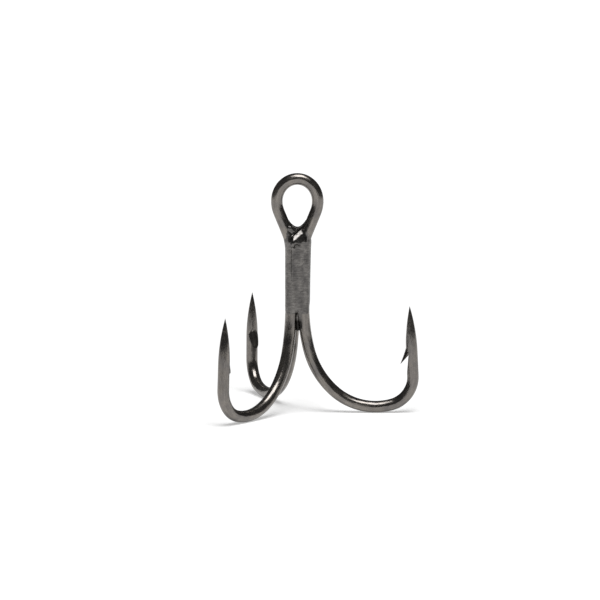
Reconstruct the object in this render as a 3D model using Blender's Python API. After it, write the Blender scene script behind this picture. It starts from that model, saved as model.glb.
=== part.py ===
"""Treble hook, about size 3/0, in metres with +Z up.

A double hook and its eye are bent from one round wire. A third hook lies in the valley behind
its shank, and braze fills the three valleys, the core between the wires and the throat of the
eye. The origin is the centre of the eye, which lies in the XZ plane; the third wire is on the
shank's +Y side. Each hook is turned 20 to 30 degrees round the shank from its own wire's side.
"""

import math
from collections import namedtuple

import bmesh
import bpy
from mathutils import Vector

MM = 0.001

# Wire and shank
WIRE_RADIUS = 1.09 * MM
WIRE_SIDES = 16
PAIR_HALF_SPACING = 1.155 * MM      # from the eye's plane of symmetry to each of its wires
THIRD_WIRE_PLACE = (-0.4 * MM, 2.09 * MM)
OVERALL_HEIGHT = 45.0 * MM
THIRD_WIRE_TOP = 32.4 * MM         # heights are measured up from the surface under the bends

# Bends, from the shank outward and up to the point: (radius, turn in degrees)
PAIR_ARCS = (
    (34.3 * MM, 14.3),
    (15.6 * MM, 33.3),
    (11.5 * MM, 57.7),
    (5.4 * MM, 77.5),
)
THIRD_ARCS = (
    (56.4 * MM, 13.7),
    (15.0 * MM, 32.7),
    (14.2 * MM, 59.0),
    (5.1 * MM, 75.7),
)
PAIR_POINT_LEG = 13.15 * MM        # straight wire between the last arc and the tip
THIRD_POINT_LEG = 12.7 * MM
POINT_TAPER = 8.6 * MM
TIP_LENGTH = 0.12 * MM
TIP_RADIUS = 0.05 * MM
ARC_STEP = 9.5                     # degrees of arc between two sections of a wire

# Azimuth of each hook about the shank, in degrees from +X; all lean the same way past their wires
RIGHT_HOOK = -0.7
LEFT_HOOK = -127.5
THIRD_HOOK = 111.0

# Barb, as (distance from the tip along the wire, height over the wire's centre line)
BARB_BASE = (7.8 * MM, 1.0 * MM)
BARB_TIP = (10.7 * MM, 2.2 * MM)
BARB_ROOT = (9.05 * MM, 0.6 * MM)
NOTCH_END = 12.6 * MM
CUT_STEP = 0.05 * MM
BARB_WIDTH = 1.66 * MM
BARB_TIP_WIDTH = 0.34 * MM
BARB_EDGE = 0.05 * MM
BARB_UNDERCUT = 0.3 * MM           # the chip's underside starts this much nearer the bend than its top

# Eye: an upright oval, and straight legs that converge on the neck
EYE_HALF_WIDTH = 3.8 * MM
EYE_RISE = 4.14 * MM               # from the eye's centre to the top of the wire's centre line
EYE_DROP = 4.66 * MM               # the same for the oval that its lower half follows
LEG_LEAN = math.radians(22.3)
NECK_RADIUS = 9.0 * MM

# Braze
BRAZE_GAP = 0.04 * MM
FILLET_BOTTOM = 18.7 * MM
FILLET_TOP = 30.9 * MM
FRONT_FILL = 66.0                  # degrees round the wires that the front fillet reaches
BACK_FILL = 58.0
FILLET_WAIST = 2.0                 # degrees that a fillet and the core stop short of the gap's waist
WAIST_HALF_WIDTH = 0.02 * MM       # or more degrees, where the waist would be thinner than this
FILLET_DISH = 0.16 * MM
FILLET_STATIONS = 12
RUN_IN_LENGTH = 1.6 * MM           # a fillet grows to its full reach over this length
RUN_IN_START = 0.55                # from this part of it
CORE_BOTTOM = 19.6 * MM
CORE_TOP = 30.9 * MM
BEAD_BOTTOM = 31.0 * MM
BEAD_DIP = 34.87 * MM              # lowest point of the bead's hollow top
BEAD_HORN = 1.3 * MM
BEAD_HALF_DEPTH = 0.86 * MM
BEAD_TOP_THINNING = 0.3            # part of its depth that the bead loses towards its top
BEAD_SIDE_THINNING = 0.12          # and towards the eye's legs

EYE_HEIGHT = OVERALL_HEIGHT - WIRE_RADIUS - EYE_RISE
FLOOR_Z = -EYE_HEIGHT

Station = namedtuple("Station", "point tangent radius inward reach")
Hook = namedtuple("Hook", "centre azimuth arcs leg")
RIGHT = Hook((PAIR_HALF_SPACING, 0), RIGHT_HOOK, PAIR_ARCS, PAIR_POINT_LEG)
LEFT = Hook((-PAIR_HALF_SPACING, 0), LEFT_HOOK, PAIR_ARCS, PAIR_POINT_LEG)
THIRD = Hook(THIRD_WIRE_PLACE, THIRD_HOOK, THIRD_ARCS, THIRD_POINT_LEG)


def at_height(height):
    """The z of a height over the surface under the bends."""
    return FLOOR_Z + height


def plated_metal(name, colour, roughness):
    material = bpy.data.materials.new(name)
    material.use_nodes = True
    shader = material.node_tree.nodes["Principled BSDF"]
    shader.inputs["Base Color"].default_value = (*colour, 1.0)
    shader.inputs["Metallic"].default_value = 1.0
    shader.inputs["Roughness"].default_value = roughness
    return material


def add_object(name, mesh_data, material=None):
    mesh = bpy.data.meshes.new(name)
    bmesh.ops.recalc_face_normals(mesh_data, faces=mesh_data.faces)
    mesh_data.to_mesh(mesh)
    mesh_data.free()
    if material:
        mesh.materials.append(material)
        mesh.shade_smooth()
        mesh.set_sharp_from_angle(angle=math.radians(40))
    thing = bpy.data.objects.new(name, mesh)
    bpy.context.scene.collection.objects.link(thing)
    return thing


def loft(rings, start_tip=None, end_tip=None, flat_triangles=False):
    """A closed body through rings of equal length; a tip point closes an end to a point."""
    body = bmesh.new()
    rows = [[body.verts.new(point) for point in ring] for ring in rings]
    count = len(rows[0])
    for lower, upper in zip(rows, rows[1:]):
        for i in range(count):
            j = (i + 1) % count
            body.faces.new((lower[i], lower[j], upper[j], upper[i]))
    for row, tip in ((rows[0], start_tip), (rows[-1], end_tip)):
        if tip is None:
            body.faces.new(row)
            continue
        apex = body.verts.new(tip)
        for i in range(count):
            body.faces.new((row[i], row[(i + 1) % count], apex))
    if flat_triangles:
        bmesh.ops.triangulate(body, faces=body.faces)
    return body


def point_radius(from_tip):
    """Radius of the wire at a distance from its tip: an ogive that fairs into the full wire."""
    if from_tip >= POINT_TAPER:
        return WIRE_RADIUS
    return WIRE_RADIUS * (1 - (1 - from_tip / POINT_TAPER) ** 2)


def notch_reach(from_tip):
    """How far the wire stands on its inner side, where the barb was cut out of it."""
    start = BARB_ROOT[0]
    if from_tip < start or from_tip > NOTCH_END:
        return 2 * WIRE_RADIUS
    part = (from_tip - start) / (NOTCH_END - start)
    return BARB_ROOT[1] + (WIRE_RADIUS - BARB_ROOT[1]) * part


def leg_distances(leg):
    """Distances from the tip of the sections along the straight leg, nearest the bend first."""
    root = BARB_ROOT[0]
    full = [(NOTCH_END + leg) / 2, NOTCH_END, BARB_TIP[0], root + 8 * CUT_STEP]
    cut = [root + CUT_STEP / 2, root - CUT_STEP / 2]
    taper = [POINT_TAPER * part for part in (0.85, 0.7, 0.56, 0.43, 0.31, 0.2, 0.11, 0.05)]
    return full + cut + taper


def hook_outline(hook):
    """The hook's centre line as (outward, down, heading, distance from tip), starting at 0, 0."""
    out, down, heading, length = 0.0, 0.0, 0.0, 0.0
    marks = [(out, down, heading, length)]
    for radius, degrees in hook.arcs:
        steps = math.ceil(degrees / ARC_STEP) + 2
        turn = math.radians(degrees) / steps
        chord = 2 * radius * math.sin(turn / 2)
        for _ in range(steps):
            out += chord * math.sin(heading + turn / 2)
            down += chord * math.cos(heading + turn / 2)
            heading += turn
            length += radius * turn
            marks.append((out, down, heading, length))
    total = length + hook.leg
    outline = [(o, d, h, total - s) for o, d, h, s in marks]
    for left in leg_distances(hook.leg) + [TIP_LENGTH, 0.0]:
        run = hook.leg - left
        outline.append((out + run * math.sin(heading), down + run * math.cos(heading), heading, left))
    return outline


def bend_top(hook):
    """Height at which the hook's wire starts to leave the shank."""
    return WIRE_RADIUS + max(down for _, down, _, _ in hook_outline(hook))


def outward_of(hook):
    angle = math.radians(hook.azimuth)
    return Vector((math.cos(angle), math.sin(angle), 0))


def wire_place(hook, height):
    """Centre of the hook's wire in a level cut through the shank or the first arc of its bend."""
    radius = hook.arcs[0][0]
    drop = max(0.0, bend_top(hook) - height)
    place = Vector((*hook.centre, 0)) + outward_of(hook) * (radius - math.sqrt(radius ** 2 - drop ** 2))
    return place.xy


def hook_stations(hook):
    """Sections of one hook from the shank to its tip, in the vertical plane of its azimuth."""
    outward = outward_of(hook)
    up = Vector((0, 0, 1))
    start = Vector((*hook.centre, at_height(bend_top(hook))))
    stations = []
    for out, down, heading, from_tip in hook_outline(hook):
        point = start + outward * out - up * down
        tangent = outward * math.sin(heading) - up * math.cos(heading)
        inward = outward * math.cos(heading) + up * math.sin(heading)
        radius = max(TIP_RADIUS, point_radius(from_tip))
        stations.append(Station(point, tangent, radius, inward, notch_reach(from_tip)))
    return stations


def plain_station(x, y, z, tangent):
    return Station(Vector((x, y, z)), Vector(tangent), WIRE_RADIUS, Vector((0, 1, 0)), 2 * WIRE_RADIUS)


def section(station, normal):
    """One ring of the wire, flattened on its inner side where a barb was cut."""
    side = station.tangent.cross(normal)
    ring = []
    for i in range(WIRE_SIDES):
        angle = 2 * math.pi * i / WIRE_SIDES
        offset = (normal * math.cos(angle) + side * math.sin(angle)) * station.radius
        excess = offset.dot(station.inward) - station.reach
        if excess > 0:
            offset -= station.inward * excess
        ring.append(station.point + offset)
    return ring


def wire_body(stations, tip_at_start):
    """Sweep a wire through its sections without twisting it; the last station is a tip."""
    normal = Vector((0, 1, 0))
    rings = []
    for station in stations:
        normal = (normal - station.tangent * normal.dot(station.tangent)).normalized()
        rings.append(section(station, normal))
    first = stations[0].point if tip_at_start else None
    if tip_at_start:
        rings = rings[1:]
    return loft(rings[:-1], start_tip=first, end_tip=stations[-1].point)


def barb_body(hook):
    """The raised chip: a wedge that springs from inside the wire and narrows to a sharp edge."""
    tip_station = hook_stations(hook)[-1]
    along = -tip_station.tangent
    inward = tip_station.inward
    sideways = along.cross(inward)
    underside = (BARB_TIP[1] - BARB_ROOT[1]) / (BARB_TIP[0] - BARB_ROOT[0])
    low_start = BARB_BASE[0] + BARB_UNDERCUT
    base_low = (low_start, BARB_TIP[1] - underside * (BARB_TIP[0] - low_start))
    rings = []
    steps = 5
    for i in range(steps + 1):
        part = i / steps
        upper = [a + (b - a) * part for a, b in zip(BARB_BASE, BARB_TIP)]
        lower = [a + (b - a) * part for a, b in zip(base_low, BARB_TIP)]
        half = (BARB_WIDTH + (BARB_TIP_WIDTH - BARB_WIDTH) * part) / 2
        ring = []
        for across in (-1, -0.6, 0, 0.6, 1):
            sag = WIRE_RADIUS - math.sqrt(WIRE_RADIUS ** 2 - (half * across) ** 2)
            ring.append((upper[0], upper[1] - sag, half * across))
        drop = lower[1] - BARB_EDGE * part
        ring.append((lower[0], min(drop, ring[0][1] - BARB_EDGE), half))
        ring.append((lower[0], min(drop, ring[0][1] - BARB_EDGE), -half))
        rings.append([tip_station.point + along * s + inward * h + sideways * w for s, h, w in ring])
    return loft(rings)


def add_barb(wire, name, hook):
    """Join the chip to its wire, so that wire and barb are one body."""
    chip = add_object(name, barb_body(hook))
    chip.hide_render = True
    chip.display_type = "WIRE"
    union = wire.modifiers.new(name, "BOOLEAN")
    union.operation = "UNION"
    union.solver = "EXACT"
    union.object = chip


def eye_leg(height):
    """Half spacing of the eye's converging legs at a height, from the neck to the cheeks."""
    rise = height - NECK_HEIGHT
    if rise <= 0:
        return PAIR_HALF_SPACING
    if rise < NECK_RADIUS * math.sin(LEG_LEAN):
        return PAIR_HALF_SPACING + NECK_RADIUS - math.sqrt(NECK_RADIUS ** 2 - rise ** 2)
    return CHEEK_X - (CHEEK_HEIGHT - height) * math.tan(LEG_LEAN)


CHEEK_TURN = math.atan(math.tan(LEG_LEAN) * EYE_DROP / EYE_HALF_WIDTH)
CHEEK_X = EYE_HALF_WIDTH * math.cos(CHEEK_TURN)
CHEEK_HEIGHT = EYE_HEIGHT - EYE_DROP * math.sin(CHEEK_TURN)
ARC_TOP_X = PAIR_HALF_SPACING + NECK_RADIUS * (1 - math.cos(LEG_LEAN))
NECK_HEIGHT = (CHEEK_HEIGHT - (CHEEK_X - ARC_TOP_X) / math.tan(LEG_LEAN)
               - NECK_RADIUS * math.sin(LEG_LEAN))


def right_half_of_eye():
    """Sections from the top of the shank, up the right leg and round to the top of the eye."""
    lean_x, lean_z = math.sin(LEG_LEAN), math.cos(LEG_LEAN)
    middle = (bend_top(RIGHT) + NECK_HEIGHT) / 2
    half = [plain_station(PAIR_HALF_SPACING, 0, at_height(middle), (0, 0, 1))]
    steps = 4
    for i in range(steps + 1):
        turn = LEG_LEAN * i / steps
        x = PAIR_HALF_SPACING + NECK_RADIUS * (1 - math.cos(turn))
        z = at_height(NECK_HEIGHT + NECK_RADIUS * math.sin(turn))
        half.append(plain_station(x, 0, z, (math.sin(turn), 0, math.cos(turn))))
    for part in (0.5, 1.0):
        height = at_height(CHEEK_HEIGHT) * part + half[-1].point.z * (1 - part)
        x = CHEEK_X - (at_height(CHEEK_HEIGHT) - height) * lean_x / lean_z
        half.append(plain_station(x, 0, height, (lean_x, 0, lean_z)))
    sweep = math.pi / 2 + CHEEK_TURN
    steps = math.ceil(sweep / math.radians(ARC_STEP)) + 2
    for i in range(1, steps + 1):
        turn = -CHEEK_TURN + sweep * i / steps
        rise = EYE_DROP if turn < 0 else EYE_RISE
        place = (EYE_HALF_WIDTH * math.cos(turn), 0, rise * math.sin(turn))
        tangent = Vector((-EYE_HALF_WIDTH * math.sin(turn), 0, rise * math.cos(turn)))
        half.append(plain_station(*place, tangent.normalized()))
    return half


def reversed_stations(stations):
    return [s._replace(tangent=-s.tangent) for s in reversed(stations)]


def mirrored(stations):
    flip = Vector((-1, 1, 1))
    return [s._replace(point=s.point * flip, tangent=s.tangent * flip) for s in stations]


def eyed_double_hook(material):
    """One wire: right hook, up the shank, round the eye, and down to the left hook."""
    right_eye = right_half_of_eye()
    left_eye = reversed_stations(mirrored(right_eye))[1:]
    path = reversed_stations(hook_stations(RIGHT)) + right_eye + left_eye + hook_stations(LEFT)
    wire = add_object("eyed_double_hook", wire_body(path, tip_at_start=True), material)
    add_barb(wire, "right_barb_chip", RIGHT)
    add_barb(wire, "left_barb_chip", LEFT)


def third_hook(material):
    """The single hook, whose plain straight shank ends under the eye."""
    top = plain_station(*THIRD.centre, at_height(THIRD_WIRE_TOP), (0, 0, -1))
    middle = plain_station(*THIRD.centre, at_height((CORE_TOP + bend_top(THIRD)) / 2), (0, 0, -1))
    path = [top, middle] + hook_stations(THIRD)
    wire = add_object("third_hook", wire_body(path, tip_at_start=False), material)
    add_barb(wire, "third_barb_chip", THIRD)


def waist_angle(half_spacing):
    """Degrees round a wire at which the braze beside a gap starts."""
    limit = min(1.0, (half_spacing - WAIST_HALF_WIDTH) / (WIRE_RADIUS + BRAZE_GAP))
    return max(FILLET_WAIST, math.degrees(math.acos(limit)))


def fillet_ring(first, second, fill, height):
    """Section of the braze in one valley: it hugs both wires and its outside is hollow."""
    a, b = wire_place(first, height), wire_place(second, height)
    across = (b - a).normalized()
    outward = Vector((across.y, -across.x))
    middle = (a + b) / 2
    half_spacing = (b - a).length / 2
    waist = waist_angle(half_spacing)
    reach = WIRE_RADIUS + BRAZE_GAP
    steps = 5
    wall = []
    for i in range(steps + 1):
        angle = math.radians(waist + (fill - waist) * i / steps)
        wall.append((half_spacing - reach * math.cos(angle), reach * math.sin(angle)))
    edge_u, edge_v = wall[-1]
    face = [(edge_u * part, edge_v - FILLET_DISH * (1 - part ** 2)) for part in (0.5, 0, -0.5)]
    ring = []
    for u, v in wall + face + [(-u, v) for u, v in reversed(wall)]:
        place = middle + across * u + outward * v
        ring.append((place.x, place.y, at_height(height)))
    return ring


def braze_fillet(name, first, second, fill, material):
    """Braze along the valley between two wires, thinning out towards its lower end."""
    rings = []
    for i in range(FILLET_STATIONS + 1):
        part = i / FILLET_STATIONS
        height = FILLET_BOTTOM + (FILLET_TOP - FILLET_BOTTOM) * part
        run_in = min(1.0, (height - FILLET_BOTTOM) / RUN_IN_LENGTH)
        fill_here = fill * (RUN_IN_START + (1 - RUN_IN_START) * math.sin(run_in * math.pi / 2))
        rings.append(fillet_ring(first, second, fill_here, height))
    add_object(name, loft(rings, flat_triangles=True), material)


def core_ring(height):
    """Three-pointed section of the braze between the wires."""
    reach = WIRE_RADIUS + BRAZE_GAP
    steps = 4
    places = [wire_place(hook, height) for hook in (LEFT, RIGHT, THIRD)]
    ring = []
    for k, place in enumerate(places):
        before, after = places[k - 1] - place, places[(k + 1) % 3] - place
        start = math.atan2(before.y, before.x) - math.radians(waist_angle(before.length / 2))
        end = math.atan2(after.y, after.x) + math.radians(waist_angle(after.length / 2))
        sweep = (start - end) % (2 * math.pi)
        for i in range(steps + 1):
            angle = start - sweep * i / steps
            x, y = place.x + reach * math.cos(angle), place.y + reach * math.sin(angle)
            ring.append((x, y, at_height(height)))
    return ring


def braze_core(material):
    """The three-pointed rod of braze between the wires, up to the narrowest part of each gap."""
    steps = 8
    heights = [CORE_BOTTOM + (CORE_TOP - CORE_BOTTOM) * i / steps for i in range(steps + 1)]
    add_object("braze_core", loft([core_ring(height) for height in heights], flat_triangles=True), material)


def throat_half_width(height, y):
    """Half width of the space between the eye's legs, with the braze's gap to them."""
    reach = math.sqrt((WIRE_RADIUS + BRAZE_GAP) ** 2 - y ** 2)
    rise = height - NECK_HEIGHT
    if rise < (NECK_RADIUS + reach) * math.sin(LEG_LEAN):
        return PAIR_HALF_SPACING + NECK_RADIUS - math.sqrt((NECK_RADIUS + reach) ** 2 - rise ** 2)
    return eye_leg(height) - reach / math.cos(LEG_LEAN)


def skin(body, corner_rows):
    """Faces over a grid of vertices."""
    for low, high in zip(corner_rows, corner_rows[1:]):
        for a, b, c, d in zip(low, low[1:], high[1:], high):
            body.faces.new((a, b, c, d))


def throat_bead(material):
    """Braze between the converging legs, bulging a little, with a hollow top that climbs them."""
    columns, rows, levels = 8, 4, 6
    body = bmesh.new()
    grid = {}
    for i in range(columns + 1):
        u = -1 + 2 * i / columns
        top = BEAD_DIP + BEAD_HORN * abs(u) ** 3
        for k in range(rows + 1):
            v = -1 + 2 * k / rows
            for j in range(levels + 1):
                if 0 < i < columns and 0 < j < levels and 0 < k < rows:
                    continue
                level = j / levels
                height = BEAD_BOTTOM + (top - BEAD_BOTTOM) * level
                thinning = (1 - BEAD_TOP_THINNING * level ** 3) * (1 - BEAD_SIDE_THINNING * u * u)
                depth = BEAD_HALF_DEPTH * thinning
                y = v * depth
                x = u * throat_half_width(height, y)
                grid[i, j, k] = body.verts.new((x, y, at_height(height)))
    for i in (0, columns):
        skin(body, [[grid[i, j, k] for k in range(rows + 1)] for j in range(levels + 1)])
    for j in (0, levels):
        skin(body, [[grid[i, j, k] for k in range(rows + 1)] for i in range(columns + 1)])
    for k in (0, rows):
        skin(body, [[grid[i, j, k] for j in range(levels + 1)] for i in range(columns + 1)])
    add_object("braze_throat_bead", body, material)


def main():
    for thing in list(bpy.data.objects):
        bpy.data.objects.remove(thing)
    eyed_double_hook(plated_metal("plated_double_wire", (0.165, 0.158, 0.152), 0.26))
    third_hook(plated_metal("plated_third_wire", (0.165, 0.158, 0.152), 0.26))
    for name, first, second, fill in (
            ("front", LEFT, RIGHT, FRONT_FILL),
            ("right", RIGHT, THIRD, BACK_FILL),
            ("left", THIRD, LEFT, BACK_FILL)):
        colour = plated_metal(name + "_braze", (0.13, 0.125, 0.12), 0.42)
        braze_fillet("braze_" + name + "_fillet", first, second, fill, colour)
    braze_core(plated_metal("core_braze", (0.13, 0.125, 0.12), 0.42))
    throat_bead(plated_metal("throat_braze", (0.13, 0.125, 0.12), 0.36))


main()
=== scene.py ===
"""Looks of the treble hook: fine plated wire with cut barbs, and the rough braze between the wires.

Lengths are in metres, in the frame's own axes: the origin is the centre of the eye, +Z runs up
the shank and the third wire is on its +Y side. Heights are measured up from the floor.
"""

import math
from collections import namedtuple

import bmesh
import bpy
import numpy as np
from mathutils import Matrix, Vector


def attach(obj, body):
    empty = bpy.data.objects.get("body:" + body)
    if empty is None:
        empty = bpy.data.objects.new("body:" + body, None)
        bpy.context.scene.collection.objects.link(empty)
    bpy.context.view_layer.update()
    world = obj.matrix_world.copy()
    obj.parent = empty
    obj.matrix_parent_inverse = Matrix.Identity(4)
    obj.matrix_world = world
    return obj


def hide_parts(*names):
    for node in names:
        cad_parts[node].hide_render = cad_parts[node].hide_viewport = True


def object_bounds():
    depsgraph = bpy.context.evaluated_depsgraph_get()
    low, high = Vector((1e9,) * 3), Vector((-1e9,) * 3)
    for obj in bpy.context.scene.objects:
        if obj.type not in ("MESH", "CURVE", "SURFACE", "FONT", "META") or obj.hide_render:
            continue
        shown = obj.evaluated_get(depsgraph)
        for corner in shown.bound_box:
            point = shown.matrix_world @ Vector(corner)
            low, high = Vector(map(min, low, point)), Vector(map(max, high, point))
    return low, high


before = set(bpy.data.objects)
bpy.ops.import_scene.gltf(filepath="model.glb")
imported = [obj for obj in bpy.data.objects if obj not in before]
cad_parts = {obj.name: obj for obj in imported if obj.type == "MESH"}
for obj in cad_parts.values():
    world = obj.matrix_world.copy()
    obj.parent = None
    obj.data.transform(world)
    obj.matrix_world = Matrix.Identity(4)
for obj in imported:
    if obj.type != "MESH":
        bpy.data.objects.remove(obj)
CAD_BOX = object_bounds()

MM = 0.001
FLOOR_Z = CAD_BOX[0][2]

# The wire, the same sizes as the frame's
WIRE_RADIUS = 1.09 * MM
PAIR_HALF_SPACING = 1.155 * MM
THIRD_WIRE_TOP = 32.4 * MM
THIRD_END_ROUND = 0.5 * MM
WIRE_SIDES = 48
SECTION_STEP = 0.3 * MM

# Bends, from the shank outward and up to the point: (radius, turn in degrees)
PAIR_ARCS = ((34.3 * MM, 14.3), (15.6 * MM, 33.3), (11.5 * MM, 57.7), (5.4 * MM, 77.5))
THIRD_ARCS = ((56.4 * MM, 13.7), (15.0 * MM, 32.7), (14.2 * MM, 59.0), (5.1 * MM, 75.7))
POINT_TAPER = 8.6 * MM
TIP_LENGTH = 0.03 * MM
TIP_RADIUS = 0.03 * MM
STEP_LENGTH = 0.03 * MM
LEG_STEP_POWER = 1.35              # sections of a straight leg crowd towards the tip
Hook = namedtuple("Hook", "centre azimuth arcs leg")
HOOKS = {
    "right": Hook((PAIR_HALF_SPACING, 0.0), -0.7, PAIR_ARCS, 13.15 * MM),
    "left": Hook((-PAIR_HALF_SPACING, 0.0), -127.5, PAIR_ARCS, 13.15 * MM),
    "third": Hook((-0.4 * MM, 2.09 * MM), 111.0, THIRD_ARCS, 12.7 * MM),
}

# Barbs: distances from the wire's tip, the chip's tip as (distance, height over the wire's centre
# line), and how strongly the notch is hollowed across the wire
Barb = namedtuple("Barb", "base tip notch_end hollow")
BARBS = {
    "right": Barb(7.55 * MM, (10.8 * MM, 2.24 * MM), 12.6 * MM, 0.0),
    "left": Barb(7.55 * MM, (10.4 * MM, 1.6 * MM), 12.6 * MM, 0.0),
    "third": Barb(6.95 * MM, (10.5 * MM, 2.2 * MM), 13.6 * MM, 0.9 / MM),
}
BARB_ROOT = (9.05 * MM, 0.6 * MM)
BARB_BASE_HEIGHT = 1.0 * MM
BARB_WIDTH = 1.8 * MM
BARB_TIP_WIDTH = 0.24 * MM
CHIP_OPENING = 1.1 * MM            # the chip has its full width this far from its base,
BASE_OPENING = 0.4                 # and this part of it at its base
CHIP_EDGE = 0.03 * MM
CHIP_CROWN = 1.15                  # how much rounder than the wire the chip is across
CHIP_LIFT = 1.2                    # powers of the chip's rise, and of its narrowing to the edge
CHIP_NARROWING = 2.4
CHIP_UNDERSIDE = 0.1 * MM          # its base goes down to this height over the centre line
CHIP_STEPS = 20
CHIP_COLUMNS = 14

# Where the chip's vertices are looked for, after the wire and the chip are one mesh
CHIP_MARGIN = 0.1 * MM
CHIP_RISE = (0.3 * MM, 3 * MM)
CHIP_HALF_WIDTH = 1.2 * MM
SURFACE_MARGIN = 0.01 * MM

# Eye
EYE_HALF_WIDTH = 3.8 * MM
EYE_RISE = 4.14 * MM
EYE_DROP = 4.66 * MM
LEG_LEAN = math.radians(22.3)
NECK_RADIUS = 9.0 * MM
CHEEK_TURN = math.atan(math.tan(LEG_LEAN) * EYE_DROP / EYE_HALF_WIDTH)
CHEEK_X = EYE_HALF_WIDTH * math.cos(CHEEK_TURN)
CHEEK_Z = -EYE_DROP * math.sin(CHEEK_TURN)
ARC_TOP_X = PAIR_HALF_SPACING + NECK_RADIUS * (1 - math.cos(LEG_LEAN))
NECK_Z = CHEEK_Z - (CHEEK_X - ARC_TOP_X) / math.tan(LEG_LEAN) - NECK_RADIUS * math.sin(LEG_LEAN)

# Braze down the shank: fillets in the valleys, and a thin coat
BRAZE_BOTTOM = 17.6 * MM
BRAZE_TOP = 36.1 * MM
RUN_IN = 2.6 * MM                  # the fillets and the coat grow to full size over this height
VALLEY_REACH = 1.7 * MM
LEAST_REACH = 0.3 * MM
FRONT_FADE = (THIRD_WIRE_TOP - 0.4 * MM, THIRD_WIRE_TOP + 2.0 * MM)
COAT = 0.03 * MM
FRONT_COAT = 0.07 * MM
FRONT_COAT_DEPTH = (0.5 * MM, 0.95 * MM)
SINK = 0.06 * MM                   # where the coat has ended, the mesh lies this deep in the wires
SIDE_RUN = ((1.15 * MM, 0.3 * MM, 21.0 * MM), (1.5 * MM, 0.3 * MM, 32.0 * MM), 1.05 * MM)
SIDE_RUN_BLEND = 0.5 * MM
FURROW_X = -1.12 * MM
FURROW_WIDTH = 0.07 * MM
FURROW_DEPTH = (0.5 * MM, 0.9 * MM)
FURROW_FADE = (21 * MM, 27 * MM)

# The lower end of the braze: a tongue on the right wire, and a round end in the crotch
TONGUE = ((0.4 * MM, -0.5 * MM, 19.5 * MM), (0.9 * MM, -0.5 * MM, 16.2 * MM), 0.5 * MM)
TONGUE_BLEND = 0.15 * MM
CROTCH = ((0.0, 0.45 * MM, 18.6 * MM), (0.12 * MM, 0.45 * MM, 15.95 * MM), 0.62 * MM)

# The bead in the eye's throat: its hollow top, its ends, and how it melts into the wires
BEAD_START = 30.6 * MM             # its lower end, inside the shank
BEAD_DIP = 34.87 * MM
BEAD_HORN = 1.1 * MM
HORN_SPACING = 1.42 * MM
HORN_POWER = 2.2
BEAD_BACK = 1.0 * MM
BEAD_OVERLAP = 0.2 * MM
BEAD_BLEND = 0.25 * MM
BEAD_STEEPNESS = 0.8
LEFT_LUMP = ((-1.32 * MM, -0.62 * MM, 34.72 * MM), (-0.85 * MM, -0.45 * MM, 34.3 * MM), 0.5 * MM)
LUMP_BLEND = 0.2 * MM

# The bead's front: a slope that faces up and forward, with a slanting ridge, above a plain face
RIDGE = (0.9 * MM, 33.76 * MM)     # a point on the ridge: x, height
RIDGE_TURN = math.radians(39.8)
RIDGE_RADIUS = 6.0 * MM
RIDGE_WIDTH = 0.66 * MM
RIDGE_FRONT = -1.08 * MM
SLOPE_ALONG = 0.4                  # how fast the slope falls back along the ridge, and over it
SLOPE_OVER = 0.63
SLOPE_EDGE = 4.0 / MM
FACE_FRONT = -1.05 * MM
FACE_ALONG = 0.33
FACE_BELOW = 0.85                  # how fast the face falls back below its foot
FACE_FOOT = 32.1 * MM
FOOT_WANDER = 0.4 * MM
FRONT_BLEND = 0.15 * MM
FRONT_MIDDLE = 0.35 * MM
FRONT_HALF_WIDTH = 1.0 * MM
FRONT_ROUNDING = 1.2 / MM
RIM_FRONT = 0.05 * MM
RIM_BLEND = 0.2 * MM

# Braze run over the feet of the eye's legs
APRON_SPREAD = (0.1 * MM, 0.7 * MM)
APRON_DEPTH = (0.1 * MM, 0.6 * MM)
APRON_START = (30.6 * MM, 32.0 * MM)
APRON_END = (31.8 * MM, 34.5 * MM)
APRON_WANDER = 0.35 * MM
APRON_THICKNESS = 0.26 * MM

# Lumps in the throat, over these heights and this far from the middle, and their sizes
LUMPS_START = (30.6 * MM, 31.8 * MM)
LUMPS_END = (BEAD_DIP - 0.3 * MM, BEAD_DIP + 0.9 * MM)
LUMPS_SIDE = (1.5 * MM, 2.2 * MM)
LUMPS_MIDDLE = -0.1 * MM
LUMP_HEIGHT = 0.03 * MM
GRAIN_HEIGHT = 0.004 * MM
SHANK_UNEVENNESS = 0.005 * MM
THROAT_UNEVENNESS = 0.002 * MM

# Ripples: the length of their waves, and the seed that they are drawn from
FOOT_RIPPLE = (1.5 * MM, 13)
APRON_RIPPLE = (1.3 * MM, 11)
LUMP_RIPPLE = (1.9 * MM, 7)
GRAIN_RIPPLE = (0.8 * MM, 5)
FINE_RIPPLE = (0.5 * MM, 3)
RIPPLE_WAVES = 14
RIPPLE_LENGTHS = (0.6, 1.5)
RIPPLE_PEAK = 1.3

# Where the braze on the legs thins out
LEGS_START = (32.0 * MM, 33.6 * MM)
LEGS_OUTSIDE = (-0.75 * MM, 0.2 * MM)
LEGS_LIMIT = 0.3 * MM
SHANK_LIMIT = 2 * MM
COAT_END = (BEAD_DIP + 0.2 * MM, BEAD_DIP + 1.0 * MM)
SINK_START = (BEAD_DIP + 0.6 * MM, BEAD_DIP + 1.1 * MM)

# The grid that the braze's surface is found on
GRID_STEP = 0.09 * MM
GRID_LOW = (-3.3 * MM, -2.3 * MM, BRAZE_BOTTOM - 2.6 * MM)
GRID_HIGH = (3.3 * MM, 3.9 * MM, BRAZE_TOP + 0.2 * MM)
SETTLE_ROUNDS = 3
LEAST_SLOPE = 0.2

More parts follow.
